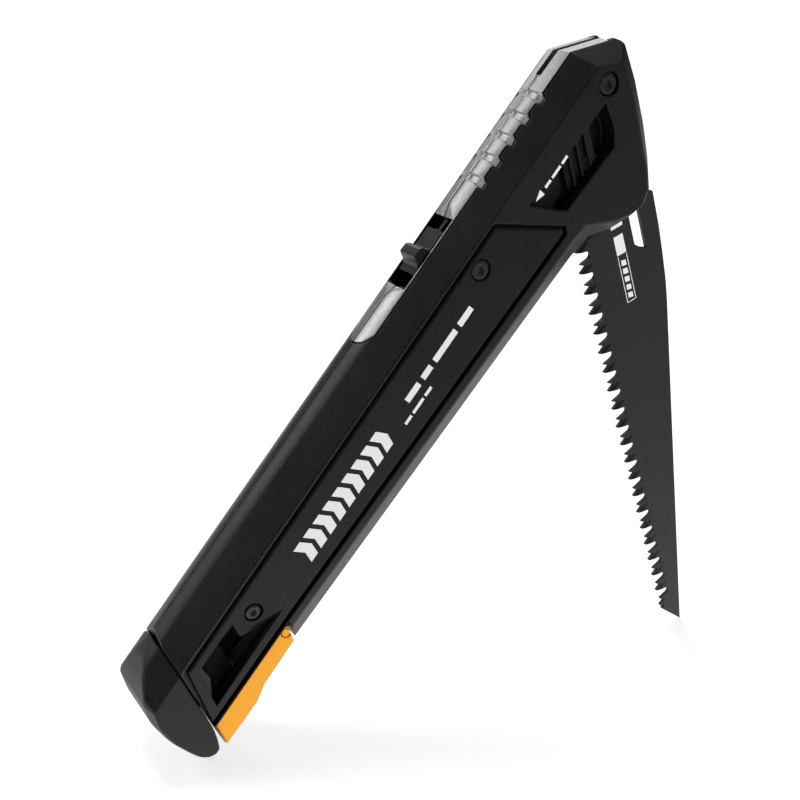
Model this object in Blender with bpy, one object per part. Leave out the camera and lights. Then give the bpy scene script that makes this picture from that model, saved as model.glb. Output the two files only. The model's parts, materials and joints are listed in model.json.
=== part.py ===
"""Folding drywall jab saw: a clamshell handle with aluminium liners, a spring lock, a blade release
button, a storage latch at the butt and a removable blade in a folding carrier.

World frame: metres, +Z up. The saw stands half open on its butt cap and its blade tip, with the origin on
the floor midway along and across it. The near side of the handle faces -Y.
Handle outlines are (x, z) in millimetres in the handle's own frame: +X towards the nose, +Z towards the
spine, with the pivot at the origin. Blade outlines use the blade's frame: +X towards the tip, +Z towards
the back edge.
"""
import math

import bmesh
import bpy
from mathutils import Matrix, Vector

MM = 0.001

# Driving dimensions, in millimetres and degrees
PIVOT_PLACE = (21.1085, 165.8273)   # pivot from the world's origin, along X and up
HANDLE_LEAN = -54.72          # handle frame about world Y
BLADE_LEAN = 64.75            # blade frame about world Y, half open
FOLDED_TURN = -52.0           # blade turn from the modelled pose to folded
OPEN_TURN = 128.0             # blade turn from the modelled pose to fully open
HALF_WIDTH = 11.4             # handle half thickness at its side faces
CREASE_WIDTH = 4.4            # half width of the flat spine
RAIL_HALF = 4.3               # half width of the aluminium rail between the grooves
RAIL_INNER = 4.0              # half width of the lock recess
CROWN_Z = 11.0                # top of the spine on the middle plane
CREASE_Z = 9.8                # spine edge
SIDE_CREASE_Z = 5.3           # upper edge of the side faces
NOSE_FACE = 8.65              # distance of the sloping nose face from the pivot
NOSE_FACE_TURN = 51.4         # direction that the nose face looks in, from +X towards +Z
NOSE_CROWN = 0.45             # fall of the nose face from the middle to the rail edge
NOSE_DROP = 3.6               # fall from the rail edge to the side face
CAP_CHAMFER_X = -169.7        # where the crown slopes down to the cap joint
CHAMFER_START = 6.5           # half width where the belly and nose chamfers start
SPLIT = 0.15                  # half of the gap between the two shells
FIT = 0.3                     # clearance between touching pieces
SLIDER_HALF = 3.4             # half width of the thumb slider
SLOT_HALF = 3.0               # half width of the blade slot
CAVITY_HALF = 7.8             # half width of the hollow grip
LINER_INNER = 3.4             # liner plate, inner face
LINER_OUTER = 5.4             # liner plate, outer face
RECESS_FLOOR = 9.5            # half width at the bottom of the panel recess
PANEL_INNER = 9.8             # inner face of the side panels
POCKET_FLOOR = 6.2            # half width at the bottom of the release window
PANEL_POCKET_FLOOR = 6.9      # half width at the bottom of the pocket under the panel's window
PANEL_GROOVE = 0.9            # width of the groove round the side panels
BLADE_HALF = 0.6              # half of the blade thickness
CARRIER_INNER = 0.9
CARRIER_OUTER = 2.3
WASHER_INNER = 2.5
WASHER_OUTER = 3.1
HUB_RADIUS = 8.2
CARRIER_RADIUS = 6.9
BARREL_RADIUS = 2.6
SCREW_HEAD_RADIUS = 2.63
TOOTH_TIP_Z = -13.43          # tooth line in the blade frame
TOOTH_PERIOD = 6.35           # one pair of teeth, taken as 8 to the inch
TOOTH_PAIRS = 21
FIRST_TOOTH_X = 43.19
GULLET_DEPTH = 4.45
GULLET_RADIUS = 1.1
TIP = (179.9, -7.3)           # blade tip in the blade frame
LOCK_TRAVEL_IN = 2.0          # bolt travel into a hub notch
BOLT_BOTTOM = 7.75            # underside of the bolt, clear of the folded blade
BOLT_TOP = 8.8                # under the finger grooves
BOLT_REAR_TOP = 9.5           # behind the grooves, inside the slider
BOLT_STEP_X = -52.0
BOLT_NOSE_X = -6.5            # front of the bolt, just clear of the hub rim
BOLT_NOSE_Z = 5.6             # underside of the bolt's deeper nose
NOTCH_GAP = 0.35
HUB_SLOT_HALF = 0.95          # half width of the slot in the spine and nose rails
GROOVES = 5                   # finger grooves across the spine
GROOVE_PITCH = 6.2
GROOVE_FRONT_X = -11.0
EAR_WIDTH = 5.1               # half width that the rail reaches at each groove
LATCH_TURN_LUG = (-157.2, -150.0)
LATCH_SLOT_HALF = 1.6

# Handle outline at the middle of each shell: nose, head front, mouth, belly, latch step, cap joint
SHELL_OUTLINE = [
    (0.1, 11.0), (10.6, 2.6), (12.0, 1.2), (12.2, 0.0), (8.0, -9.3), (2.6, -18.8), (-3.4, -27.7),
    (-8.2, -32.3), (-13.7, -33.3), (-19.7, -32.3), (-24.4, -29.9), (-29.0, -26.0), (-36.7, -24.9), (-154.7, -21.1),
    (-150.9, -13.1), (-182.4, -12.9), (-171.1, 11.0)]
# The same corners where the chamfers meet the side face
SHELL_SIDE_OUTLINE = [
    (-2.6, 11.0), (6.1, 1.4), (6.3, 0.6), (5.9, -0.6), (2.2, -9.3), (-3.2, -18.6), (-7.6, -26.0),
    (-10.4, -29.7), (-14.0, -31.0), (-18.6, -29.6), (-22.4, -26.8), (-28.9, -19.4), (-34.0, -18.6), (-151.4, -14.5),
    (-150.8, -12.9), (-182.4, -12.7), (-171.1, 11.0)]
LINER_OUTLINE = [
    (0.4, 8.1), (6.0, 3.4), (6.6, -0.6), (4.0, -9.5), (-3.0, -20.5), (-9.6, -25.6), (-21.0, -25.0),
    (-32.0, -14.6), (-42.0, 3.6), (-86.0, 3.6), (-86.0, 8.1)]
RAIL_OUTLINE = [
    (-86.0, 7.4), (-86.0, 11.0), (0.1, 11.0), (10.6, 2.6), (9.5, 1.9), (1.1, 8.6), (0.4, 7.4)]
PANEL_OUTLINE = [
    (-44.8, 3.5), (-33.4, -14.1), (-34.2, -14.9), (-149.0, -11.6), (-181.6, -11.4), (-172.9, 3.5)]
PANEL_WINDOW = [(-149.2, -8.9), (-177.2, -9.2), (-171.8, 1.1), (-157.6, 1.1), (-159.9, -4.2)]
PANEL_POCKET = [
    (-150.5, -8.7), (-176.9, -8.9), (-171.9, -4.2), (-170.2, 0.9), (-157.8, 0.9), (-160.1, -4.2)]
RELEASE_WINDOW = [(-3.6, -2.6), (-6.6, -9.6), (-9.7, -12.4), (-29.7, -11.5), (-35.2, -1.1)]
RELEASE_BUTTON = [(-9.6, -3.0), (-14.4, -11.7), (-24.6, -11.2), (-19.6, -2.4)]
CAP_OUTLINE = [
    (-171.5, 10.8), (-177.0, 10.2), (-181.4, 8.8), (-185.2, 6.6), (-188.7, 1.4), (-190.7, -5.0),
    (-191.3, -11.4), (-191.4, -15.4), (-190.4, -18.0), (-188.8, -19.3), (-187.0, -19.3), (-182.9, -13.0)]
CAP_CENTRE = (-184.0, -6.0)
LATCH_OUTLINE = [
    (-151.9, -13.8), (-154.9, -19.4), (-168.0, -19.6), (-173.0, -20.9), (-186.0, -20.6), (-182.6, -13.4)]
CARRIER_TAIL = [(0.0, -6.9), (33.0, -6.9), (33.0, -0.8), (0.0, -0.8)]
HUB_TONGUE = [(0.0, -6.3), (24.2, -6.3), (24.2, -0.3), (0.0, -0.3)]
CAVITY_OUTLINE = [(-47.0, 6.2), (-36.5, -14.2), (-149.0, -11.4), (-168.0, -9.6), (-160.5, 6.2)]

PIVOT = (0.0, 0.0)
PANEL_SCREW_FRONT = (-54.8, -0.1)
PANEL_SCREW_REAR = (-153.1, -2.6)
LATCH_HINGE = (-154.4, -15.9)
CARRIER_RIVETS = [(11.0, -3.7), (20.5, -3.7)]
CATCH_PIN = (29.0, -3.7)

HANDLE_COLOUR = (0.018, 0.018, 0.019)
SILVER_COLOUR = (0.72, 0.72, 0.73)
ORANGE_COLOUR = (0.95, 0.36, 0.02)
BLADE_COLOUR = (0.035, 0.035, 0.037)
STEEL_COLOUR = (0.45, 0.45, 0.47)
PLASTIC = {"roughness": 0.6, "metallic": 0.0}
METAL = {"roughness": 0.35, "metallic": 1.0}


# ---------------------------------------------------------------- scene and material helpers

def clear_scene():
    for old in list(bpy.data.objects):
        bpy.data.objects.remove(old, do_unlink=True)


def material(name, colour, roughness, metallic):
    made = bpy.data.materials.new(name)
    made.use_nodes = True
    shader = made.node_tree.nodes["Principled BSDF"]
    shader.inputs["Base Color"].default_value = (*colour, 1.0)
    shader.inputs["Roughness"].default_value = roughness
    shader.inputs["Metallic"].default_value = metallic
    return made


def empty(name, lean):
    frame = bpy.data.objects.new(name, None)
    bpy.context.scene.collection.objects.link(frame)
    frame.location = (PIVOT_PLACE[0] * MM, 0.0, PIVOT_PLACE[1] * MM)
    frame.rotation_euler = (0.0, math.radians(lean), 0.0)
    return frame


def child_empty(name, parent, point):
    frame = bpy.data.objects.new(name, None)
    bpy.context.scene.collection.objects.link(frame)
    frame.parent = parent
    frame.location = (point[0] * MM, 0.0, point[1] * MM)
    return frame


def add(name, mesh_data, parent, look=None, origin=(0.0, 0.0)):
    """Turn a bmesh in millimetres of the parent frame into an object with its origin at a point."""
    bmesh.ops.translate(mesh_data, vec=(-origin[0], 0.0, -origin[1]), verts=mesh_data.verts)
    bmesh.ops.scale(mesh_data, vec=(MM, MM, MM), verts=mesh_data.verts)
    bmesh.ops.recalc_face_normals(mesh_data, faces=mesh_data.faces)
    mesh = bpy.data.meshes.new(name)
    mesh_data.to_mesh(mesh)
    mesh_data.free()
    mesh.shade_smooth()
    mesh.set_sharp_from_angle(angle=math.radians(30.0))
    piece = bpy.data.objects.new(name, mesh)
    bpy.context.scene.collection.objects.link(piece)
    piece.parent = parent
    piece.location = (origin[0] * MM, 0.0, origin[1] * MM)
    if look is not None:
        colour, finish = look
        mesh.materials.append(material(name + "_finish", colour, **finish))
    return piece


def cut(piece, cutters, operation="DIFFERENCE"):
    """Boolean each cutter with the piece, and leave the cutters hidden as guides."""
    for index, cutter in enumerate(cutters):
        cutter.hide_render = True
        cutter.display_type = "WIRE"
        modifier = piece.modifiers.new(f"{operation.lower()}_{index}", "BOOLEAN")
        modifier.operation = operation
        modifier.object = cutter
        modifier.solver = "EXACT"
    return piece


# ---------------------------------------------------------------- shape helpers, millimetres

def loft(rings):
    """A closed body through rings that have the same number of corners."""
    shape = bmesh.new()
    rows = [[shape.verts.new(point) for point in ring] for ring in rings]
    count = len(rows[0])
    for low, high in zip(rows, rows[1:]):
        for i in range(count):
            j = (i + 1) % count
            shape.faces.new((low[i], low[j], high[j], high[i]))
    shape.faces.new(rows[0][::-1])
    shape.faces.new(rows[-1])
    return shape


def ring(outline, y):
    return [(x, y, z) for x, z in outline]


def prism(outline, y_low, y_high):
    return loft([ring(outline, y_low), ring(outline, y_high)])


def box(x, y, z):
    return prism([(x[0], z[0]), (x[1], z[0]), (x[1], z[1]), (x[0], z[1])], y[0], y[1])


def circle(centre, radius, sides=24):
    step = 2.0 * math.pi / sides
    return [(centre[0] + radius * math.cos(step * i), centre[1] + radius * math.sin(step * i))
            for i in range(sides)]


def turned(centre, profile, sides=24):
    """A round body about Y from (radius, y) pairs."""
    return loft([ring(circle(centre, radius, sides), y) for radius, y in profile])


def arc(centre, radius, start, end, steps):
    """Points on an arc, with angles in degrees from +X towards +Z."""
    turns = [math.radians(start + (end - start) * i / steps) for i in range(steps + 1)]
    return [(centre[0] + radius * math.cos(turn), centre[1] + radius * math.sin(turn)) for turn in turns]


def polar(radius, degrees):
    turn = math.radians(degrees)
    return (radius * math.cos(turn), radius * math.sin(turn))


def slice_off(shape, point, normal):
    """Cut away what lies on the side that the normal points to."""
    geometry = shape.verts[:] + shape.edges[:] + shape.faces[:]
    result = bmesh.ops.bisect_plane(shape, geom=geometry, plane_co=point, plane_no=normal,
                                    clear_outer=True)
    edges = [item for item in result["geom_cut"] if isinstance(item, bmesh.types.BMEdge)]
    bmesh.ops.edgeloop_fill(shape, edges=edges)
    return shape


def coil(start, end, radius, wire, turns, steps=10, sides=6):
    """A round wire helix between two points, closed at both ends."""
    start, end = Vector(start), Vector(end)
    along = (end - start).normalized()
    across = along.orthogonal().normalized()
    third = along.cross(across)
    total = turns * steps
    rings = []
    for i in range(total + 1):
        angle = 2.0 * math.pi * i / steps
        outward = across * math.cos(angle) + third * math.sin(angle)
        centre = start.lerp(end, i / total) + outward * radius
        rings.append([centre + outward * (wire * math.cos(2.0 * math.pi * k / sides))
                      + along * (wire * math.sin(2.0 * math.pi * k / sides)) for k in range(sides)])
    return loft(rings)


def scaled_outline(outline, centre, factor):
    return [(centre[0] + (x - centre[0]) * factor, centre[1] + (z - centre[1]) * factor)
            for x, z in outline]


def grown(outline, margin):
    """The outline moved outwards by a margin, corner by corner."""
    area = sum(a[0] * b[1] - b[0] * a[1] for a, b in zip(outline, outline[1:] + outline[:1]))
    side = 1.0 if area > 0.0 else -1.0
    result = []
    for i, here in enumerate(outline):
        before, after = outline[i - 1], outline[(i + 1) % len(outline)]
        first = Vector((here[0] - before[0], here[1] - before[1])).normalized()
        second = Vector((after[0] - here[0], after[1] - here[1])).normalized()
        normal = Vector((first.y + second.y, -first.x - second.x)).normalized() * side
        bend = max(0.4, normal.dot(Vector((first.y, -first.x)) * side))
        result.append((here[0] + normal.x * margin / bend, here[1] + normal.y * margin / bend))
    return result


def spine_bevels(shape, side, lift=0.0):
    """Slope the crown and the upper shoulder of a body on one side of the handle."""
    crown_run = CREASE_WIDTH
    slice_off(shape, (0.0, 0.0, CROWN_Z + lift), (0.0, side * (CROWN_Z - CREASE_Z), crown_run))
    drop = CREASE_Z - SIDE_CREASE_Z
    run = HALF_WIDTH - CREASE_WIDTH
    slice_off(shape, (0.0, side * CREASE_WIDTH, CREASE_Z + lift), (0.0, side * drop, run))
    return shape


def nose_bevels(shape, side):
    """Slope the nose face of a body away from the middle plane, gently first and then steeply."""
    ex, ez = polar(1.0, NOSE_FACE_TURN)
    slice_off(shape, (ex * NOSE_FACE, 0.0, ez * NOSE_FACE),
              (ex * CREASE_WIDTH, side * NOSE_CROWN, ez * CREASE_WIDTH))
    edge = NOSE_FACE - NOSE_CROWN
    run = HALF_WIDTH - CREASE_WIDTH
    slice_off(shape, (ex * edge, side * CREASE_WIDTH, ez * edge), (ex * run, side * NOSE_DROP, ez * run))
    return shape


# ---------------------------------------------------------------- handle shells

def groove_front(index):
    return GROOVE_FRONT_X - GROOVE_PITCH * index


def grip_grooves(parent, name):
    """Finger grooves that run across the spine near the nose and slope down at both ends."""
    cutters = []
    for index in range(GROOVES):
        front = groove_front(index)
        rings = []
        for y, floor, swing in ((-5.8, 8.8, 0.8), (-3.0, 9.8, 0.1), (3.0, 9.8, 0.1), (5.8, 8.8, 0.8)):
            outline = [(front, 12.5), (front - 0.5, floor), (front - 2.3, floor), (front - 2.8, 12.5)]
            rings.append([(x - swing, y, z) for x, z in outline])
        cutters.append(add(f"{name}_groove_cutter_{index}", loft(rings), parent))
    return cutters


def groove_ear(index, side, margin):
    """The part of the rail that widens over the shoulder at one groove."""
    front = groove_front(index) + 0.3 + margin
    back = front - 4.0 - 2.0 * margin
    inner, outer = side * 3.6, side * (EAR_WIDTH + margin)
    corners = [(front, inner), (front - 1.0, outer), (back + 1.0, outer), (back, inner)]
    return loft([[(x, y, 6.8 - margin) for x, y in corners], [(x, y, 13.0) for x, y in corners]])


def round_rail_end(shape, side, margin=0.0):
    """Take the outer corner off the butt end of the rail."""
    for back, width, turn in ((-86.0, 2.2, 30.0), (-84.2, RAIL_HALF, 60.0)):
        outward = polar(1.0, turn)
        point = (back - margin * outward[1], side * (width + margin * outward[0]), 0.0)
        slice_off(shape, point, (-outward[1], side * outward[0], 0.0))
    return shape


def latch_lug(side):
    """The tab at the end of the belly that carries one latch pin."""
    return box(LATCH_TURN_LUG, (side * 3.2, side * 5.4), (LATCH_HINGE[1] - 2.3, -12.2))


def shell(parent, name, side, window):
    """One half of the handle casing. side is -1 for the near half and +1 for the far half."""
    body = loft([ring(SHELL_OUTLINE, side * SPLIT), ring(SHELL_OUTLINE, side * CHAMFER_START),
                 ring(SHELL_SIDE_OUTLINE, side * HALF_WIDTH)])
    spine_bevels(body, side)
    nose_bevels(body, side)
    slice_off(body, (CAP_CHAMFER_X, 0.0, CROWN_Z), (-0.6, 0.0, 0.8))
    piece = add(name, body, parent, (HANDLE_COLOUR, PLASTIC))
    inner, outer = -side * 1.0, side * SLOT_HALF
    slot = [(-33.0, 7.2), (-148.0, 7.2), (-165.0, -6.0), (-176.0, -10.0), (-178.0, -14.0),
            (-150.0, -26.0), (-30.0, -40.0), (20.0, -40.0), (20.0, 14.0), (-4.0, 14.0), (-33.0, 9.0)]
    panel_recess = prism(grown(PANEL_OUTLINE, PANEL_GROOVE), side * RECESS_FLOOR, side * 13.0)
    pivot_hole = turned(PIVOT, [(1.8, side * 4.0), (1.8, side * 10.1), (3.1, side * 10.11),
                                (3.1, side * 12.0)])
    solids = {
        "slot": prism(slot, inner, outer),
        "liner": prism(grown(LINER_OUTLINE, FIT), inner, side * (LINER_OUTER + FIT)),
        "rail": round_rail_end(prism(grown(RAIL_OUTLINE, FIT), inner, side * (RAIL_HALF + FIT)),
                               side, FIT),
        "cavity": prism(CAVITY_OUTLINE, inner, side * CAVITY_HALF),
        "panel": panel_recess,
        "panel_pocket": prism(PANEL_POCKET, side * PANEL_POCKET_FLOOR, side * 13.0),
        "tenon": box((-190.0, -169.6), (inner, side * 6.3), (-8.3, 6.3)),
        "pivot": pivot_hole}
    solids.update({f"ear_{i}": groove_ear(i, side, 0.25) for i in range(GROOVES)})
    for label, place in (("front_screw", PANEL_SCREW_FRONT), ("rear_screw", PANEL_SCREW_REAR)):
        solids[label] = turned(place, [(1.5, side * 6.5), (1.5, side * 12.0)])
    if window:
        solids["window"] = prism(RELEASE_WINDOW, side * POCKET_FLOOR, side * 13.0)
        solids["spring_channel"] = box((-34.4, -10.5), (side * 5.5, side * 8.5), (-17.2, -11.0))
    cutters = [add(f"{name}_{label}_cutter", solid, parent) for label, solid in solids.items()]
    cut(piece, cutters + grip_grooves(parent, name))
    cut(piece, [add(name + "_lug_guide", latch_lug(side), parent)], "UNION")
    pin_hole = turned(LATCH_HINGE, [(1.5, side * 2.0), (1.5, side * 7.0)], 16)
    return cut(piece, [add(name + "_pin_cutter", pin_hole, parent)])


def side_panel(parent, name, side):
    """The inset cover on one side, with its long window near the butt."""
    body = loft([ring(PANEL_OUTLINE, side * PANEL_INNER),
                 ring(PANEL_OUTLINE, side * (HALF_WIDTH - 0.5)),
                 ring(grown(PANEL_OUTLINE, -0.5), side * HALF_WIDTH)])
    piece = add(name, body, parent, (HANDLE_COLOUR, PLASTIC))
    slope = [(-143.4, 11.5, 1.2), (-148.6, 11.5, -8.9), (-160.1, 10.3, -4.2), (-157.7, 10.3, 1.2)]
    ramp = loft([[(x, side * y, z) for x, y, z in slope], [(x, side * 13.0, z) for x, _, z in slope]])
    cutters = [
        add(name + "_window_cutter", prism(PANEL_WINDOW, side * 8.0, side * 13.0), parent),
        add(name + "_ramp_cutter", ramp, parent),
        add(name + "_front_screw_cutter", turned(PANEL_SCREW_FRONT, [
            (1.5, side * 8.0), (1.5, side * 10.4), (2.9, side * 10.41), (2.9, side * 13.0)]), parent),
        add(name + "_rear_screw_cutter", turned(PANEL_SCREW_REAR, [
            (1.5, side * 8.0), (1.5, side * 10.1), (2.3, side * 10.11), (2.3, side * 13.0)]), parent)]
    return cut(piece, cutters)


def butt_cap(parent):
    """The rubber end cap, with a hollow that fits over the end of the shells and a tenon inside."""
    inner = scaled_outline(CAP_OUTLINE, CAP_CENTRE, 0.86)
    joint = {0: CAP_OUTLINE[0], len(CAP_OUTLINE) - 1: CAP_OUTLINE[-1]}
    side_ring = [joint.get(i, point) for i, point in enumerate(inner)]
    body = loft([ring(side_ring, -HALF_WIDTH - 0.3), ring(CAP_OUTLINE, -8.2), ring(CAP_OUTLINE, 8.2),
                 ring(side_ring, HALF_WIDTH + 0.3)])
    for side in (-1.0, 1.0):
        spine_bevels(body, side)
    piece = add("butt_cap", body, parent, ((0.012, 0.012, 0.013), {"roughness": 0.8, "metallic": 0.0}))
    joint_cutter = add("cap_joint_cutter", prism(
        [(-160.0, 14.0), (-171.4, 14.0), (-171.4, 11.0), (-183.0, -13.2), (-186.0, -30.0),
         (-160.0, -30.0)], -14.0, 14.0), parent)
    tenon = add("cap_tenon_guide", box((-183.0, -170.0), (-6.0, 6.0), (-8.0, 6.0)), parent)
    cut(piece, [joint_cutter])
    return cut(piece, [tenon], "UNION")


# ---------------------------------------------------------------- liners, pivot and screws

def liner(parent, name, side):
    """One aluminium side plate, with the visible rail on the spine and nose."""
    piece = add(name, prism(LINER_OUTLINE, side * LINER_INNER, side * LINER_OUTER), parent,
                (SILVER_COLOUR, METAL))
    rail = prism(RAIL_OUTLINE, side * SPLIT, side * RAIL_HALF)
    slice_off(rail, (0.0, 0.0, CROWN_Z), (0.0, side * (CROWN_Z - CREASE_Z), CREASE_WIDTH))
    ex, ez = polar(1.0, NOSE_FACE_TURN)
    slice_off(rail, (ex * NOSE_FACE, 0.0, ez * NOSE_FACE),
              (ex * CREASE_WIDTH, side * NOSE_CROWN, ez * CREASE_WIDTH))
    round_rail_end(rail, side)
    guides = [add(name + "_rail_guide", rail, parent)]
    for index in range(GROOVES):
        ear = groove_ear(index, side, 0.0)
        spine_bevels(ear, side)
        guides.append(add(f"{name}_ear_guide_{index}", ear, parent))
    recess = [(-42.5, 12.0), (-48.7, 9.7), (-48.7, 5.0), (-68.6, 5.0), (-68.6, 9.7), (-75.9, 12.0)]
    solids = {
        "recess": prism(recess, -side, side * RAIL_INNER),
        "bolt_channel": box((-49.5, 3.0), (-side, side * 1.1), (5.0, BOLT_TOP + FIT)),
        "spring_channel": box((-82.0, -60.0), (-side, side * 1.9), (5.0, 9.85)),
        "hub_slot": box((-7.2, 14.0), (-side, side * HUB_SLOT_HALF), (0.0, 13.0)),
        "bore": turned(PIVOT, [(BARREL_RADIUS + FIT, side * 2.0), (BARREL_RADIUS + FIT, side * 7.0)])}
    cutters = [add(f"{name}_{label}_cutter", solid, parent) for label, solid in solids.items()]
    cut(piece, guides, "UNION")
    return cut(piece, cutters + grip_grooves(parent, name))


def pivot_barrel(parent):
    body = turned(PIVOT, [(BARREL_RADIUS, -5.1), (BARREL_RADIUS, 5.1)])
    piece = add("pivot_barrel", body, parent, (STEEL_COLOUR, METAL))
    bore = add("barrel_bore_cutter", turned(PIVOT, [(1.75, -6.0), (1.75, 6.0)]), parent)
    return cut(piece, [bore])


def screw(parent, name, place, side, head_radius, shank_radius, head_y, tip_y):
    """A round-headed screw with a star drive socket."""
    body = turned(place, [(shank_radius, side * tip_y), (shank_radius, side * (head_y - 0.02)),
                          (head_radius, side * head_y), (head_radius, side * (head_y + 0.45)),
                          (head_radius * 0.82, side * (head_y + 0.75))])
    piece = add(name, body, parent, ((0.03, 0.03, 0.032), METAL), origin=place)
    star = []
    for index in range(12):
        radius = head_radius * (0.46 if index % 2 == 0 else 0.30)
        star.append((place[0] + polar(radius, 30.0 * index)[0], place[1] + polar(radius, 30.0 * index)[1]))
    socket = add(name + "_socket_cutter", prism(star, side * (head_y + 0.1), side * (head_y + 2.0)), parent)
    return cut(piece, [socket])


def washer(parent, name, side):
    piece = add(name, turned(PIVOT, [(5.2, side * WASHER_INNER), (5.2, side * WASHER_OUTER)]), parent,
                ((0.7, 0.55, 0.25), METAL))
    bore = add(name + "_bore_cutter", turned(PIVOT, [(BARREL_RADIUS + FIT, side), (BARREL_RADIUS + FIT,
                                                                                 side * 4.0)]), parent)
    return cut(piece, [bore])


# ---------------------------------------------------------------- lock, release and latch

def lock_bolt(parent):
    """A steel bar that drops its nose into a hub notch."""
    outline = [(BOLT_NOSE_X, BOLT_TOP), (BOLT_NOSE_X, BOLT_NOSE_Z + 0.4), (BOLT_NOSE_X - 0.4, BOLT_NOSE_Z),
               (-13.0, BOLT_NOSE_Z), (-15.2, BOLT_BOTTOM), (-64.0, BOLT_BOTTOM), (-64.0, BOLT_REAR_TOP),
               (BOLT_STEP_X, BOLT_REAR_TOP), (BOLT_STEP_X, BOLT_TOP)]
    return add("lock_bolt", prism(outline, -BLADE_HALF, BLADE_HALF), parent, (BLADE_COLOUR, METAL))


def thumb_slider(parent):
    """The thumb tab in the spine, on a saddle that straddles the bolt."""
    outline = [(-52.4, 8.2), (-64.9, 8.2), (-64.9, 9.9), (-63.2, 9.9), (-62.4, 10.6), (-61.9, 11.9),
               (-61.5, 12.6), (-60.9, 12.7), (-59.0, 12.5), (-58.4, 11.7), (-57.9, 9.9), (-52.4, 9.9)]
    piece = add("thumb_slider", prism(outline, -SLIDER_HALF, SLIDER_HALF), parent,
                (HANDLE_COLOUR, PLASTIC))
    slot = box((-70.0, -50.0), (-BLADE_HALF - FIT, BLADE_HALF + FIT), (7.0, BOLT_REAR_TOP + FIT))
    return cut(piece, [add("slider_slot_cutter", slot, parent)])


def release_button(parent):
    """The ridged blade release button in the near window."""
    face = -POCKET_FLOOR - FIT
    piece = add("release_button", prism(RELEASE_BUTTON, face, face - 2.6), parent,
                (HANDLE_COLOUR, PLASTIC))
    valleys = []
    for index in range(3):
        front = -11.2 - 3.3 * index
        outline = [(front, -1.5), (front - 6.6, -13.0), (front - 8.4, -13.0), (front - 1.8, -1.5)]
        floor = face - 1.2
        top = [(x + (0.7 if i in (0, 1) else -0.7), z) for i, (x, z) in enumerate(outline)]
        valleys.append(add(f"button_valley_cutter_{index}", loft([ring(outline, floor),
                                                                  ring(top, face - 4.0)]), parent))
    cut(piece, valleys)
    leg = box((-18.0, -13.2), (face, face - 1.6), (-16.6, -9.0))
    return cut(piece, [add("button_leg_guide", leg, parent)], "UNION")


def storage_latch(parent, hinge):
    """The orange latch at the butt end of the belly, forked round the folded blade."""
    small = scaled_outline(LATCH_OUTLINE, (-168.0, -17.0), 0.97)
    body = loft([ring(small, -9.3), ring(LATCH_OUTLINE, -8.0), ring(LATCH_OUTLINE, 8.0), ring(small, 9.3)])
    bmesh.ops.translate(body, vec=(-LATCH_HINGE[0], 0.0, -LATCH_HINGE[1]), verts=body.verts)
    piece = add("storage_latch", body, hinge, (ORANGE_COLOUR, {"roughness": 0.45, "metallic": 0.0}))
    solids = {
        "bore": turned((0.0, 0.0), [(1.5, -12.0), (1.5, 12.0)], 16),
        "fork": box((-27.2, 8.0), (-LATCH_SLOT_HALF, LATCH_SLOT_HALF), (-12.0, 6.0)),
        "right_lug": box((-3.3, 8.0), (-5.7, -2.9), (-2.9, 6.0)),
        "left_lug": box((-3.3, 8.0), (2.9, 5.7), (-2.9, 6.0))}
    return cut(piece, [add(f"latch_{label}_cutter", solid, hinge) for label, solid in solids.items()])


def latch_pin(parent, name, side):
    return add(name, turned(LATCH_HINGE, [(1.2, side * 1.8), (1.2, side * 9.0)], 16), parent,
               (ORANGE_COLOUR, PLASTIC), origin=LATCH_HINGE)


def springs(parent):
    """The return springs of the thumb slider and of the release button."""
    steel = (STEEL_COLOUR, METAL)
    add("lock_spring", coil((-69.0, 0.0, 8.3), (-80.5, 0.0, 8.3), 1.1, 0.2, 7), parent, steel)
    add("release_spring", coil((-18.5, -7.2, -14.8), (-33.9, -7.2, -14.8), 0.95, 0.2, 8), parent, steel)


# ---------------------------------------------------------------- blade unit

def hub(parent):
    """The round locking plate, with a notch for each lock position and a tongue for the blade tang."""
    piece = add("lock_hub", turned(PIVOT, [(HUB_RADIUS, -BLADE_HALF), (HUB_RADIUS, BLADE_HALF)], 48),
                parent, (STEEL_COLOUR, METAL))
    cut(piece, [add("hub_tongue_guide", prism(HUB_TONGUE, -BLADE_HALF, BLADE_HALF), parent)], "UNION")
    bore = turned(PIVOT, [(BARREL_RADIUS + FIT, -2.0), (BARREL_RADIUS + FIT, 2.0)])
    cutters = [add("hub_bore_cutter", bore, parent)]
    cutters.append(add("hub_rivet_cutter_1", turned(CARRIER_RIVETS[0], [(2.1, -2.0), (2.1, 2.0)], 20),
                       parent))
    cutters.append(add("hub_rivet_cutter_2", turned(CARRIER_RIVETS[1], [(2.1, -2.0), (2.1, 2.0)], 20),
                       parent))
    nose_x = BOLT_NOSE_X + LOCK_TRAVEL_IN + NOTCH_GAP
    nose_z = BOLT_NOSE_Z - NOTCH_GAP
    notch = [(nose_x, 14.0), (nose_x, nose_z), (-14.0, nose_z), (-14.0, 14.0)]
    blade_in_handle = BLADE_LEAN - HANDLE_LEAN
    for turn in (FOLDED_TURN, 0.0, OPEN_TURN):
        angle = math.radians(blade_in_handle - turn)
        outline = [(x * math.cos(angle) - z * math.sin(angle), x * math.sin(angle) + z * math.cos(angle))
                   for x, z in notch]
        cutters.append(add(f"hub_notch_cutter_{round(turn)}", prism(outline, -2.0, 2.0), parent))
    return cut(piece, cutters)


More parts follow.
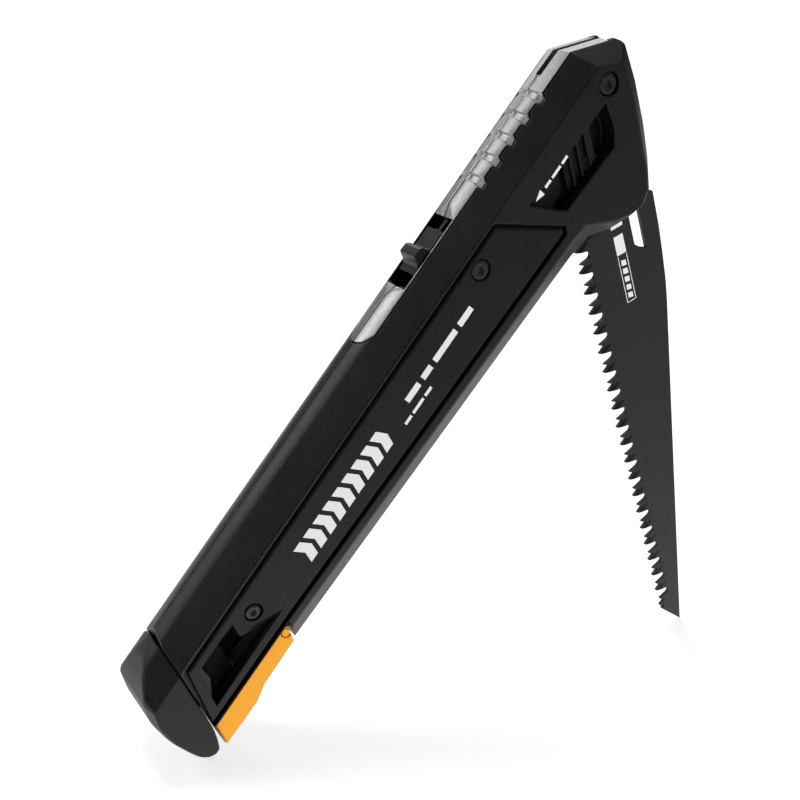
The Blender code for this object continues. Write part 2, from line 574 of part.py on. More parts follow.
def carrier(parent, name, side):
    """One of the two plates that clamp the blade tang to the hub."""
    y_low, y_high = side * CARRIER_INNER, side * CARRIER_OUTER
    piece = add(name, turned(PIVOT, [(CARRIER_RADIUS, y_low), (CARRIER_RADIUS, y_high)], 36), parent,
                (STEEL_COLOUR, METAL))
    cut(piece, [add(name + "_tail_guide", prism(CARRIER_TAIL, y_low, y_high), parent)], "UNION")
    holes = [(PIVOT, BARREL_RADIUS + FIT), (CATCH_PIN, 1.5)] + [(place, 2.1) for place in CARRIER_RIVETS]
    cutters = [add(f"{name}_hole_cutter_{i}", turned(place, [(radius, side * 0.2), (radius, side * 4.0)]),
                   parent) for i, (place, radius) in enumerate(holes)]
    return cut(piece, cutters)


def rivet(parent, name, place, radius):
    return add(name, turned(place, [(radius, -CARRIER_OUTER), (radius, CARRIER_OUTER)], 20), parent,
               (STEEL_COLOUR, METAL), origin=place)


def tooth_line():
    """Pairs of teeth: a long bevelled tooth, a deep rounded gullet, a short plain tooth, a small notch."""
    points = []
    for index in range(TOOTH_PAIRS):
        x = FIRST_TOOTH_X + TOOTH_PERIOD * index
        points += [(x - 0.25, TOOTH_TIP_Z), (x + 0.5, TOOTH_TIP_Z + 1.8)]
        points += arc((x + 2.0, TOOTH_TIP_Z + GULLET_DEPTH - GULLET_RADIUS), GULLET_RADIUS, 170.0, 10.0, 4)
        points += [(x + 3.6, TOOTH_TIP_Z + 0.6), (x + 4.75, TOOTH_TIP_Z + 2.5)]
    return points


def blade(parent):
    """The jab blade: stepped tang, straight toothed edge, tapered back and stabbing tip."""
    teeth = [point for point in tooth_line() if point[0] < 171.0]
    outline = [(24.6, -6.4), (40.2, -6.4), (41.6, TOOTH_TIP_Z + 3.6)] + teeth
    outline += [(171.7, TOOTH_TIP_Z + 0.5), TIP, (71.0, 12.4), (65.0, 13.3), (56.0, 14.1), (48.0, 14.6),
                (38.0, 14.8), (34.0, 9.4), (13.5, 9.4), (13.5, 0.2), (24.6, 0.2)]
    piece = add("blade", prism(outline, -BLADE_HALF, BLADE_HALF), parent, (BLADE_COLOUR, METAL))
    slot = [(28.0, 5.5), (49.7, 5.5), (51.4, 7.2), (52.5, 9.05), (34.4, 9.05), (28.0, 8.0)]
    cutters = [add("blade_slot_cutter", prism(slot, -2.0, 2.0), parent)]
    cutters.append(add("blade_catch_cutter", turned(CATCH_PIN, [(1.5, -2.0), (1.5, 2.0)], 20), parent))
    return cut(piece, cutters)


# ---------------------------------------------------------------- the whole saw

def build():
    clear_scene()
    handle = empty("handle_frame", HANDLE_LEAN)
    blade_frame = empty("blade_frame", BLADE_LEAN)
    latch_hinge = child_empty("latch_hinge_frame", handle, LATCH_HINGE)
    for name, side in (("right", -1.0), ("left", 1.0)):
        shell(handle, f"shell_{name}", side, window=side < 0.0)
        side_panel(handle, f"side_panel_{name}", side)
        liner(handle, f"liner_{name}", side)
        washer(handle, f"pivot_washer_{name}", side)
        carrier(blade_frame, f"blade_carrier_{name}", side)
        screw(handle, f"pivot_screw_{name}", PIVOT, side, SCREW_HEAD_RADIUS, 1.4, 10.4, 2.6)
        screw(handle, f"panel_screw_front_{name}", PANEL_SCREW_FRONT, side, 2.45, 1.15, 10.5, 8.2)
        screw(handle, f"panel_screw_rear_{name}", PANEL_SCREW_REAR, side, 1.9, 1.15, 10.2, 8.2)
        latch_pin(handle, f"latch_pin_{name}", side)
    butt_cap(handle)
    pivot_barrel(handle)
    lock_bolt(handle)
    thumb_slider(handle)
    release_button(handle)
    storage_latch(handle, latch_hinge)
    springs(handle)
    hub(blade_frame)
    blade(blade_frame)
    for index, place in enumerate(CARRIER_RIVETS):
        rivet(blade_frame, f"carrier_rivet_{index + 1}", place, 1.8)
    rivet(blade_frame, "blade_catch_pin", CATCH_PIN, 1.2)


build()
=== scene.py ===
"""Looks of the folding drywall saw: finished surfaces, print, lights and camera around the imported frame.

Handle points are (x, z) in millimetres in the handle's frame: +X towards the nose, +Z towards the spine,
with the blade pivot at the origin. Blade points are in the blade's frame: +X towards the tip, +Z towards
the back edge. Y runs across the saw, and the near side faces -Y.
"""
import json
import math

import bmesh
import bpy
from mathutils import Matrix, Vector
from mathutils.bvhtree import BVHTree
from mathutils.geometry import intersect_line_line_2d

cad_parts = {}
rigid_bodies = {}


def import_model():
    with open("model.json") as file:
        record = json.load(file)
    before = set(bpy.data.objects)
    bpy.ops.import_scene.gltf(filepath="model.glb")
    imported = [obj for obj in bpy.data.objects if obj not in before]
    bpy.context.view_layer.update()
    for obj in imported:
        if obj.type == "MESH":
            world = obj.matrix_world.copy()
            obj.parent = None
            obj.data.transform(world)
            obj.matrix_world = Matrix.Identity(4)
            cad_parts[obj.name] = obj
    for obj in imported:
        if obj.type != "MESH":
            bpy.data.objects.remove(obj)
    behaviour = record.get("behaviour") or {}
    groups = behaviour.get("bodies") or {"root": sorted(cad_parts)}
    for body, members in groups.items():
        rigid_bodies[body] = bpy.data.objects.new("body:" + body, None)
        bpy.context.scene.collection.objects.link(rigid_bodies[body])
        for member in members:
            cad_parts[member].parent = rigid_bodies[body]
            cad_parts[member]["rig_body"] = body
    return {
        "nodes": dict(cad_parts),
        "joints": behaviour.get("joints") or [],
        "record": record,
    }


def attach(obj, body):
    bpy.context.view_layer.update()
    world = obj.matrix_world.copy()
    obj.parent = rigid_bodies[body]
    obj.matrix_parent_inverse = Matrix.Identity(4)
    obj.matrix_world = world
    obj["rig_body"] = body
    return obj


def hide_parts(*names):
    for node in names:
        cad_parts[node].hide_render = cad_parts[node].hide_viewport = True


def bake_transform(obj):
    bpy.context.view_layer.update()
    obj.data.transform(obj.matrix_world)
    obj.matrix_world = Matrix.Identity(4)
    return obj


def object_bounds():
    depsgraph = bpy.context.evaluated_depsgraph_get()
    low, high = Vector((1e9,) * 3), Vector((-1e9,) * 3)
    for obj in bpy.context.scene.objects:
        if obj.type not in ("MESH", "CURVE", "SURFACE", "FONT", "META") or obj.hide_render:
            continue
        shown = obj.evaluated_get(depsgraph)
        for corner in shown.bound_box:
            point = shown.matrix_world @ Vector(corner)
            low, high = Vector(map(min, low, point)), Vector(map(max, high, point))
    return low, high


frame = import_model()
CAD_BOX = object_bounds()

MM = 0.001
JOINTS = {joint["name"]: joint for joint in frame["joints"]}
SLOTS = {part["node"]: part["material_slot"] for part in frame["record"]["subparts"]}

# Handle and blade. Lengths are in millimetres and angles in degrees, unless a comment says otherwise
BLADE_IN_HANDLE = 119.47      # turn about Y from the handle's frame to the blade's frame
HALF_WIDTH = 11.4             # handle side faces
BLADE_FACE = 0.6              # blade side faces

# Crowned spine
CREASE_WIDTH = 4.4            # half width of the crowned spine
CROWN_FLOOR = 9.6             # everything of the spine's surface lies above this
CROWN_RISE = 1.2              # height of the crown over its edges
CROWN_TOP = 11.0              # its middle line
GROOVE_FLOOR = 9.8            # the grip grooves, flat in the CAD
GROOVE_FLOOR_PLAY = 0.02      # a groove's floor is found within this of its height
GROOVE_HALF_WIDTH = 3.05
GROOVE_DEPTH = 0.75           # below the crown, once they follow it
DOME_NOSE = -4.0              # the dome fades out here
DOME_NOSE_FADE = 4.0          # over this length
DOME_BUTT = -171.0
DOME_BUTT_FADE = 6.0
DOME_CUTS = (-3.3, -2.2, -1.1, 1.1, 2.2, 3.3)
DOMED = ("shell_right", "shell_left", "liner_right", "liner_left")

# Recess, rear pocket and seam, with the limits of the faces that get painted shade
RECESS = (-69.2, -48.1)
RECESS_WALL = 4.1             # half width that takes in the recess walls
RECESS_FAR_RIM = 3.2          # the far rim lies beyond this
LATCH_TOP = -15.9             # the lever's upper faces lie above this
PIN_INNER = 8.95              # inside the orange ends of the latch pins and the lever's side faces
POCKET_NOSE_END = -140.0
POCKET_TOP = 1.4
POCKET_INNER = 5.0            # half widths between which the pocket lies
POCKET_OUTER = 11.2
PANEL_INNER = 11.1            # under the panel's face
SLOT_TOP = 5.0
SLOT_HALF_WIDTH = 3.3         # around the walls of the blade slot
LINER_SEAM = (-38.5, -9.0)    # stretches where the halves meet with no open gap
SHELL_SEAM = (-183.0, -69.5)
SEAM_REACH = 0.45             # half width that takes in the seam's two lips
SEAM_FLOOR = 7.0              # the seam is closed above this
SEAM_KEPT = 0.1               # share of the gap that is left

# Cleaning and edge rounding
WELD = 0.02
FLAT_ANGLE = 0.8              # faces that meet at less than this become one
SHARP_ANGLE = 24.0            # edges sharper than this are rounded
CAP_SHARP_ANGLE = 7.0
BLADE_SHARP_ANGLE = 30.0
BLUNT_ANGLE = 65.0            # edges blunter than this are rounded more widely
BLUNT_WIDENING = 2.5
EDGE_SEGMENTS = 3
BLADE_EDGE_SEGMENTS = 2
BLADE_EDGE_WIDTH = 0.1
EASING_TRIES = 6
SHORT_EDGE_SHARE = 2.4        # the shortest edge at a corner is at least this many widths long
EASING_REACH = 2.5            # easing reaches this many widths from its place
STRAY_LIMIT = 0.6             # widths that a rounded vertex may lie off the surface
CROSSING_SHARE = 0.5          # share of the width kept where an outline crosses itself
STRAY_SHARE = 0.1             # and where a vertex strays
EDGE_WIDTH = {
    "shell_right": 0.35, "shell_left": 0.35, "side_panel_right": 0.25, "side_panel_left": 0.25,
    "butt_cap": 0.6, "liner_right": 0.16, "liner_left": 0.16, "thumb_slider": 0.3, "lock_bolt": 0.15,
    "release_button": 0.25, "storage_latch": 0.4, "lock_hub": 0.12, "blade_carrier_right": 0.15,
    "blade_carrier_left": 0.15, "pivot_barrel": 0.15, "pivot_washer_right": 0.1, "pivot_washer_left": 0.1,
    "latch_pin_right": 0.2, "latch_pin_left": 0.2, "carrier_rivet_1": 0.2, "carrier_rivet_2": 0.2,
    "blade_catch_pin": 0.15}
# Places along the handle where a piece is split, so that its long faces round evenly
SPLITS = {
    "shell_right": (-20.0, -60.0, -100.0, -140.0, -160.0),
    "shell_left": (-60.0, -100.0, -140.0, -160.0),
    "side_panel_right": (-60.0, -100.0, -130.0, -160.0),
    "side_panel_left": (-60.0, -100.0, -130.0),
    "liner_right": RECESS,
    "liner_left": RECESS,
    "storage_latch": (-160.0,)}

# Screws: shares are of the head's radius, heights are over the head's underside
HEAD_HEIGHT = 0.75
SHANK_SHARE = 0.47
SHANK_TIP_SHARE = 0.7         # of the shank's radius
SHANK_CHAMFER = 0.4
HEAD_CHAMFER = 0.12
RIM_START = 0.38              # the rolled rim starts at this height
RIM_REACH = 0.28
RIM_RISE = 0.24
RIM_STEPS = 4
RIM_STEP_ANGLE = 20.0
SOCKET_SHARE = 0.44
SOCKET_LOBE_DEPTH = 0.32      # of the socket's radius
SOCKET_FLOOR = 0.05
CUTTER_OVERRUN = 1.0          # a cutter reaches this far out of the piece

# Springs
WIRE_RADIUS = 0.22
COIL_STEPS = 24               # per turn
WIRE_SIDES = 10
END_COIL_CLOSING = 0.055      # share of the length by which the end coils are drawn up
LOCK_SPRING_TURNS = 7
RELEASE_SPRING_TURNS = 8

# Blade teeth: a pair is one tooth ground on each face
TOOTH_PERIOD = 6.35
TOOTH_PAIRS = 20
FIRST_TOOTH_X = 43.19
TOOTH_TIP_Z = -13.43
HOLLOW_DEPTH = 0.36
# Each tooth's hollow: its offset from the pair's place, its length, its lean, its half width and its face
NEAR_HOLLOW = (-0.05, 5.2, -1.5, 0.85, -1.0)
FAR_HOLLOW = (3.6, 4.6, -1.2, 0.75, 1.0)
HOLLOW_STEPS = 7
HOLLOW_START = 0.4            # below the tooth's tip
HOLLOW_SKEW = 0.3             # how far its widest stretch leans along the tooth

# Print. A line of bars is its start, its end, its low and high edges, its bar lengths and its gap
PRINT_HEIGHT = 0.03
CHEVRONS = 9
CHEVRON_START = -101.0
CHEVRON_PITCH = 4.0
CHEVRON_WIDTH = 2.7
CHEVRON_REACH = 1.2           # of the pointed side
CHEVRON_NOTCH = 1.5           # of the side that follows it
CHEVRON_HEIGHTS = (-8.0, -4.8, -1.6)
PANEL_LINES = [
    (-63.2, -99.0, -5.0, -3.2, (5.2, 9.0, 3.6), 1.5),
    (-84.4, -99.4, -8.2, -7.3, (2.6, 4.4), 0.7)]
WINDOW_ARROW = [(-30.6, -0.9), (-30.6, -2.9), (-33.4, -1.9)]
WINDOW_LINE = (-19.9, -30.2, -2.3, -1.5, (2.3, 3.6), 0.6)
LABEL_X = (44.6, 64.9)
LABEL_Z = (-0.9, 2.3)
LABEL_LINE = 0.22
LABEL_LINE_PLAY = 0.02        # between the frame's end line and its long lines
LABEL_FILL_END = 50.2         # the filled end's edge
LABEL_FRAME_START = 50.6
LABEL_MARKS = 5
LABEL_MARK_START = 52.0
LABEL_MARK_PITCH = 2.5
LABEL_MARK_WIDTH = 1.6
LABEL_MARK_Z = (-0.1, 1.5)
LABEL_MARK_SLANT = 0.3
HOLDER_MARK = (42.3, 41.2, -1.1, 2.9)

# Studio. A soft panel is the way to it, its half angle, its soft edge in degrees and its brightness
PANELS = [
    ((0.244, 0.796, 0.556), 18.0, 10.0, 1.4),
    ((-0.70, 0.43, 0.55), 15.5, 6.0, 2.15),
    ((0.118, 0.086, 0.991), 20.0, 12.0, 0.15)]
WHITE = (1.0, 1.0, 1.0, 1.0)
ROOM_LIGHT = 0.02
BACKDROP_LIGHT = 1.1          # as the camera sees it
PAPER_DARK = (0.78, 0.78, 0.78, 1.0)
PAPER_LIGHT = (0.84, 0.84, 0.84, 1.0)
FLOOR_GLOW = 0.78             # the floor's own light under the saw
FLOOR_FAR_GLOW = 0.85         # and half a metre away
FLOOR_GLOW_STRETCH = (0.12, 0.5)      # metres from the middle between which it changes
FLOOR_FRONT = 0.27            # light that the floor gives the saw, before it and behind it
FLOOR_BACK = 1.0
FLOOR_STRETCH = (-0.22, 0.06)         # metres along Y between which that changes
FLOOR_HALF_SIZE = 20.0        # metres
FLOOR_DROP = 0.05             # under the saw

# Lights and camera, in metres. A light is its place, its target, its size and its power in watts
KEY_LIGHT = ((-0.15, 0.35, 1.05), (0.0, 0.0, 0.0), (0.36, 0.3), 4.0)
FRONT_LIGHT = ((0.42, -0.85, 0.75), (0.0, 0.0, 0.08), (0.45, 0.45), 14.0)
CAMERA_PLACE = (-0.18184, -0.24755, 0.18620)
CAMERA_TURN = (70.996, -5.226, -30.956)
CAMERA_LENS = 55.66
CAMERA_NEAR = 0.005


def handle_frame():
    """Handle coordinates in millimetres to world metres."""
    forward = -Vector(JOINTS["lock_slide"]["axis"])
    across = Vector((0.0, 1.0, 0.0))
    up = forward.cross(across)
    turn = Matrix((forward, across, up)).transposed().to_4x4()
    place = Matrix.Translation(Vector(JOINTS["blade_fold"]["pos_m"]))
    return place @ turn @ Matrix.Scale(MM, 4)


HANDLE = handle_frame()
BLADE = HANDLE @ Matrix.Rotation(math.radians(BLADE_IN_HANDLE), 4, "Y")


# ---------------------------------------------------------------- node helpers

def new_tree(name):
    material = bpy.data.materials.new(name)
    material.use_nodes = True
    material.node_tree.nodes.clear()
    return material, material.node_tree


def node(tree, kind, inputs=None, **settings):
    """Add a shader node. Inputs are given by socket name or number, as values or as other sockets."""
    made = tree.nodes.new("ShaderNode" + kind)
    for key, value in settings.items():
        setattr(made, key, value)
    for key, value in (inputs or {}).items():
        if isinstance(value, bpy.types.NodeSocket):
            tree.links.new(value, made.inputs[key])
        else:
            made.inputs[key].default_value = value
    return made


def math_node(tree, operation, first, second=0.0, clamp=False):
    made = node(tree, "Math", {0: first, 1: second}, operation=operation, use_clamp=clamp)
    return made.outputs[0]


def noise(tree, where, scale, detail=3.0, roughness=0.55):
    return node(tree, "TexNoise", {"Vector": where, "Scale": scale, "Detail": detail,
                                   "Roughness": roughness}).outputs["Fac"]


def remap(tree, value, low, high, to_low, to_high, interpolation="LINEAR"):
    return node(tree, "MapRange", {"Value": value, "From Min": low, "From Max": high, "To Min": to_low,
                                   "To Max": to_high}, interpolation_type=interpolation).outputs["Result"]


def mix_colour(tree, factor, first, second, blend="MIX"):
    made = tree.nodes.new("ShaderNodeMix")
    made.data_type = "RGBA"
    made.blend_type = blend
    for key, value in ((0, factor), (6, first), (7, second)):
        if isinstance(value, bpy.types.NodeSocket):
            tree.links.new(value, made.inputs[key])
        else:
            made.inputs[key].default_value = value
    return made.outputs[2]


def rgba(colour):
    return (*colour, 1.0)


def scaled(colour, factor):
    return tuple(min(1.0, channel * factor) for channel in colour)


def bump(tree, height, strength, distance, normal=None):
    inputs = {"Height": height, "Strength": strength, "Distance": distance}
    if normal is not None:
        inputs["Normal"] = normal
    return node(tree, "Bump", inputs).outputs["Normal"]


def surface(name, colour, roughness, metallic=0.0, grain=1800.0, grain_height=0.02, pebble=0.0,
            mottle=0.12, wear_and_glint=0.0, wear_and_glint_colour=(0.2, 0.2, 0.2), streak=0.0, edge=0.25, coat=0.0,
            subsurface=0.0, specular=0.5):
    """One finished material: mottled colour, fine grain, optional pebbles and streaks, and lighter edges that
    are partly rubbed wear and partly painted highlights.
    """
    material, tree = new_tree(name)
    where = node(tree, "TexCoord").outputs["Object"]
    aligned = node(tree, "VectorRotate", {"Vector": where, "Angle": HANDLE.to_euler().y},
                   rotation_type="Y_AXIS").outputs["Vector"]
    rounded = node(tree, "Bevel", {"Radius": edge * MM}, samples=4).outputs["Normal"]
    broad = noise(tree, where, 45.0, 4.0)
    fine = noise(tree, where, grain, 2.0, 0.6)
    base = mix_colour(tree, broad, rgba(scaled(colour, 1.0 - mottle)), rgba(scaled(colour, 1.0 + mottle)))
    speckle = remap(tree, fine, 0.3, 0.7, 1.0 - mottle, 1.0 + mottle)
    speckled = node(tree, "VectorMath", {0: base, 3: speckle}, operation="SCALE").outputs[0]
    rough = math_node(tree, "ADD", remap(tree, broad, 0.3, 0.7, -0.04, 0.04),
                      remap(tree, fine, 0.3, 0.7, roughness - 0.05, roughness + 0.05))
    normal = bump(tree, fine, 0.5, grain_height * MM, rounded)
    if pebble > 0.0:
        cells = node(tree, "TexVoronoi", {"Vector": where, "Scale": grain * 0.55},
                     feature="SMOOTH_F1").outputs["Distance"]
        normal = bump(tree, cells, 0.6, pebble * MM, normal)
    if streak > 0.0:
        stretched = node(tree, "Mapping", {"Vector": aligned, "Scale": (40.0, 900.0, 900.0)}).outputs[0]
        lines = noise(tree, stretched, 1.0, 3.0, 0.7)
        rough = math_node(tree, "ADD", rough, remap(tree, lines, 0.3, 0.7, -streak, streak))
        normal = bump(tree, lines, 0.35, 0.01 * MM, normal)
    # Lighter edge colour in patches: rubbed wear, and painted highlights along the edges.
    if wear_and_glint > 0.0:
        true_normal = node(tree, "NewGeometry").outputs["Normal"]
        alike = node(tree, "VectorMath", {0: rounded, 1: true_normal},
                     operation="DOT_PRODUCT").outputs["Value"]
        edges = remap(tree, alike, 0.995, 0.86, 0.0, 1.0)
        patchy = remap(tree, noise(tree, where, 260.0, 5.0, 0.7), 0.42, 0.68, 0.0, 1.0)
        rubbed_and_lit = math_node(tree, "MULTIPLY", math_node(tree, "MULTIPLY", edges, patchy), wear_and_glint)
        speckled = mix_colour(tree, rubbed_and_lit, speckled, rgba(wear_and_glint_colour))
        rough = math_node(tree, "SUBTRACT", rough, math_node(tree, "MULTIPLY", rubbed_and_lit, 0.12), clamp=True)
    shader = node(tree, "BsdfPrincipled", {
        "Base Color": speckled, "Roughness": rough, "Metallic": metallic, "Normal": normal,
        "Coat Weight": coat, "Coat Roughness": 0.3, "Specular IOR Level": specular,
        "Subsurface Weight": subsurface, "Subsurface Scale": 0.002})
    node(tree, "OutputMaterial", {"Surface": shader.outputs[0]})
    return material


# ---------------------------------------------------------------- the materials

def make_materials():
    # The edge colours below are lighter: rubbed wear and painted highlights.
    return {
        "handle_plastic": surface("moulded_black", (0.0065, 0.0065, 0.007), 0.42, grain=1900.0,
                                  grain_height=0.06, mottle=0.35, wear_and_glint=0.5, wear_and_glint_colour=(0.07, 0.07, 0.072),
                                  specular=0.65),
        "panel_plastic": surface("pebbled_black", (0.007, 0.007, 0.0074), 0.46, grain=1700.0,
                                 grain_height=0.05, pebble=0.07, mottle=0.45, wear_and_glint=0.6,
                                 wear_and_glint_colour=(0.09, 0.09, 0.092)),
        # Painted shade: a black darker than the plastics, for faces that lie in deep shade.
        "painted_shade_black": surface("pocket_painted_shade", (0.0025, 0.0025, 0.0027), 0.5, grain=1800.0, grain_height=0.03,
                              mottle=0.3, specular=0.12, wear_and_glint=0.4, wear_and_glint_colour=(0.08, 0.08, 0.08)),
        "cap_rubber": surface("cap_rubber", (0.006, 0.006, 0.0064), 0.46, grain=2100.0, grain_height=0.05,
                              mottle=0.3, wear_and_glint=0.35, wear_and_glint_colour=(0.045, 0.045, 0.045), edge=0.4),
        "spine_aluminium": surface("blasted_aluminium", (0.54, 0.54, 0.55), 0.4, 1.0, grain=2600.0,
                                   grain_height=0.05, mottle=0.1, wear_and_glint=0.5, wear_and_glint_colour=(0.78, 0.78, 0.79),
                                   streak=0.04),
        "plain_steel": surface("brushed_steel", (0.42, 0.42, 0.44), 0.34, 1.0, grain=2200.0,
                               grain_height=0.012, mottle=0.1, wear_and_glint=0.4, wear_and_glint_colour=(0.7, 0.7, 0.71),
                               streak=0.1, edge=0.15),
        "black_screw": surface("black_oxide", (0.09, 0.09, 0.093), 0.36, 0.9, grain=2600.0,
                               grain_height=0.012, mottle=0.2, wear_and_glint=0.4, wear_and_glint_colour=(0.12, 0.12, 0.12),
                               edge=0.12),
        "orange_plastic": surface("moulded_orange", (0.95, 0.40, 0.025), 0.42, grain=1700.0,
                                  grain_height=0.025, mottle=0.05, wear_and_glint=0.2, wear_and_glint_colour=(1.0, 0.55, 0.12),
                                  subsurface=0.15, edge=0.4, specular=0.35),
        "coated_blade": surface("blade_coating", (0.026, 0.026, 0.028), 0.44, 0.25, grain=2400.0,
                                grain_height=0.015, mottle=0.1, wear_and_glint=0.5, wear_and_glint_colour=(0.14, 0.14, 0.145),
                                streak=0.06, edge=0.12),
        # Tooth hollows: ground faces, given a black darker than the coating as painted shade, dark whichever
        # way they face.
        "ground_hollow_shade": surface("ground_hollow_shade", (0.006, 0.006, 0.0065), 0.4, 0.3, grain=2400.0,
                                grain_height=0.01, mottle=0.15, edge=0.08),
        "print_white": surface("print_white", (0.82, 0.82, 0.82), 0.5, grain=2000.0, grain_height=0.01,
                               mottle=0.04, edge=0.03)}


MATERIALS = make_materials()
FINISH = dict(SLOTS)
FINISH.update({"side_panel_right": "panel_plastic", "side_panel_left": "panel_plastic"})


# ---------------------------------------------------------------- mesh helpers

def finish_piece(name, mesh, body, material, nodes=()):
    """Link a world-space mesh as a piece that may ride on a body and may stand for CAD nodes."""
    piece = bpy.data.objects.new(name, mesh)
    bpy.context.scene.collection.objects.link(piece)
    if not mesh.materials:
        mesh.materials.append(MATERIALS[material])
    if body:
        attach(piece, body)
    if nodes:
        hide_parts(*nodes)
    return piece


def baked(mesh, modifiers):
    """Return a copy of the mesh with modifiers applied. Each modifier is (kind, settings)."""
    holder = bpy.data.objects.new("baking", mesh)
    bpy.context.scene.collection.objects.link(holder)
    for kind, settings in modifiers:
        modifier = holder.modifiers.new(kind.lower(), kind)
        for key, value in settings.items():
            setattr(modifier, key, value)
    graph = bpy.context.evaluated_depsgraph_get()
    result = bpy.data.meshes.new_from_object(holder.evaluated_get(graph), depsgraph=graph)
    bpy.data.objects.remove(holder)
    return result


def split(work, point, direction):
    """Split the mesh along a plane in handle coordinates, and keep the new edges."""
    turned_direction = HANDLE.to_3x3() @ Vector(direction)
    made = bmesh.ops.bisect_plane(work, geom=work.verts[:] + work.edges[:] + work.faces[:],
                                  plane_co=HANDLE @ Vector(point), plane_no=turned_direction.normalized())
    for part in made["geom_cut"]:
        if isinstance(part, bmesh.types.BMEdge):
            part.seam = True


def cleaned(source, cuts=(), domed=False):
    """A welded copy of a CAD mesh with one face per flat region, split across the handle at each cut."""
    work = bmesh.new()
    work.from_mesh(source)
    bmesh.ops.remove_doubles(work, verts=work.verts, dist=WELD * MM)
    for x in cuts:
        split(work, (x, 0.0, 0.0), (1.0, 0.0, 0.0))
    if domed:
        for y in DOME_CUTS:
            split(work, (0.0, y, 0.0), (0.0, 1.0, 0.0))
    bmesh.ops.dissolve_limit(work, angle_limit=math.radians(FLAT_ANGLE), verts=work.verts, edges=work.edges,
                             delimit={"SEAM"})
    if domed:
        dome_crown(work)
    bmesh.ops.recalc_face_normals(work, faces=work.faces)
    mesh = bpy.data.meshes.new("cleaned")
    work.to_mesh(mesh)
    work.free()
    return mesh


def dome_crown(work):
    """Lift the spine's two flat slopes into one shallow curve that fades at its ends.

    The floors of the grip grooves follow the crown.
    """
    back = HANDLE.inverted()
    for vertex in work.verts:
        place = back @ vertex.co
        share = abs(place.y) / CREASE_WIDTH
        if share < 1.0 and place.z > CROWN_FLOOR:
            nose_fade = min(1.0, max(0.0, (DOME_NOSE - place.x) / DOME_NOSE_FADE))
            butt_fade = min(1.0, max(0.0, (place.x - DOME_BUTT) / DOME_BUTT_FADE))
            on_groove_floor = abs(place.z - GROOVE_FLOOR) < GROOVE_FLOOR_PLAY
            if on_groove_floor and abs(place.y) < GROOVE_HALF_WIDTH:
                place.z = CROWN_TOP - CROWN_RISE * share * share - GROOVE_DEPTH
            else:
                place.z += CROWN_RISE * share * (1.0 - share) * nose_fade * butt_fade
            vertex.co = HANDLE @ place


def crossings(face):
    """Places where the outline of a flat face crosses itself."""
    normal = face.normal
    across = (face.verts[1].co - face.verts[0].co).normalized()
    up = normal.cross(across)
    points = [Vector((vert.co.dot(across), vert.co.dot(up))) for vert in face.verts]
    count = len(points)
    found = []
    for i in range(count):
        for j in range(i + 2, count - (i == 0)):
            if intersect_line_line_2d(points[i], points[i + 1], points[j], points[(j + 1) % count]):
                found += [face.verts[i].co.copy(), face.verts[j].co.copy()]
    return found


def round_edges(mesh, width, segments, sharp_angle, easing):
    """Bevel the sharp edges, blunt ones more widely.

    Easing lists places, and the share of the width that is kept near each.
    """
    work = bmesh.new()
    work.from_mesh(mesh)
    layer = work.edges.layers.float.new("bevel_weight_edge")
    for edge in work.edges:
        angle = math.degrees(edge.calc_face_angle(0.0)) if len(edge.link_faces) == 2 else 0.0
        if angle > sharp_angle:
            reach = min(other.calc_length() for end in edge.verts for other in end.link_edges)
            wanted = BLUNT_WIDENING * width if angle < BLUNT_ANGLE else width
            weight = min(wanted, reach / SHORT_EDGE_SHARE) / (BLUNT_WIDENING * width)
            for place, share in easing:
                if min((end.co - place).length for end in edge.verts) < EASING_REACH * width:
                    weight *= share
            edge[layer] = weight
    for face in work.faces:
        face.smooth = True
    copy = bpy.data.meshes.new("weighted")
    for material in mesh.materials:
        copy.materials.append(material)
    work.to_mesh(copy)
    work.free()
    return baked(copy, [
        ("BEVEL", {"width": BLUNT_WIDENING * width, "segments": segments, "limit_method": "WEIGHT",
                   "use_clamp_overlap": False}),
        ("WEIGHTED_NORMAL", {"keep_sharp": False, "weight": 80})])


def strays(mesh, source, surface_tree, limit):
    """Source corners, and their neighbours, nearest to any vertex that the rounding threw off the surface."""
    found = set()
    for vertex in mesh.vertices:
        if surface_tree.find_nearest(vertex.co)[3] > limit:
            nearest = min(source.vertices, key=lambda corner: (corner.co - vertex.co).length).index
            for edge in source.edges:
                if nearest in edge.vertices:
                    found.update(edge.vertices)
    return [source.vertices[index].co.copy() for index in sorted(found)]


def rounded_mesh(mesh, width, segments, sharp_angle):
    """Round a cleaned mesh's sharp edges, easing the width wherever that goes wrong.

    It goes wrong where a face's outline crosses itself, or where a vertex leaves the surface.
    """
    easing = []
    corners = [vertex.co.copy() for vertex in mesh.vertices]
    surface_tree = BVHTree.FromPolygons(corners, [list(polygon.vertices) for polygon in mesh.polygons])
    for _ in range(EASING_TRIES):
        result = round_edges(mesh, width * MM, segments, sharp_angle, easing)
        work = bmesh.new()
        work.from_mesh(result)
        trouble = [place for face in work.faces if len(face.verts) > 4 for place in crossings(face)]
        work.free()
        lost = strays(result, mesh, surface_tree, STRAY_LIMIT * width * MM)
        if not trouble and not lost:
            break
        easing += [(place, CROSSING_SHARE) for place in trouble]
        easing += [(place, STRAY_SHARE) for place in lost]
    return result


def skin(cad_node, width):
    """Replace a CAD node by its finished, edge-rounded copy."""
    source = frame["nodes"][cad_node]
    sharp_angle = CAP_SHARP_ANGLE if cad_node == "butt_cap" else SHARP_ANGLE
    mesh = cleaned(source.data, SPLITS.get(cad_node, ()), cad_node in DOMED)
    mesh = rounded_mesh(mesh, width, EDGE_SEGMENTS, sharp_angle)
    mesh.materials.clear()
    return finish_piece(cad_node + "_skin", mesh, source["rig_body"], FINISH[cad_node],
                        (cad_node,))


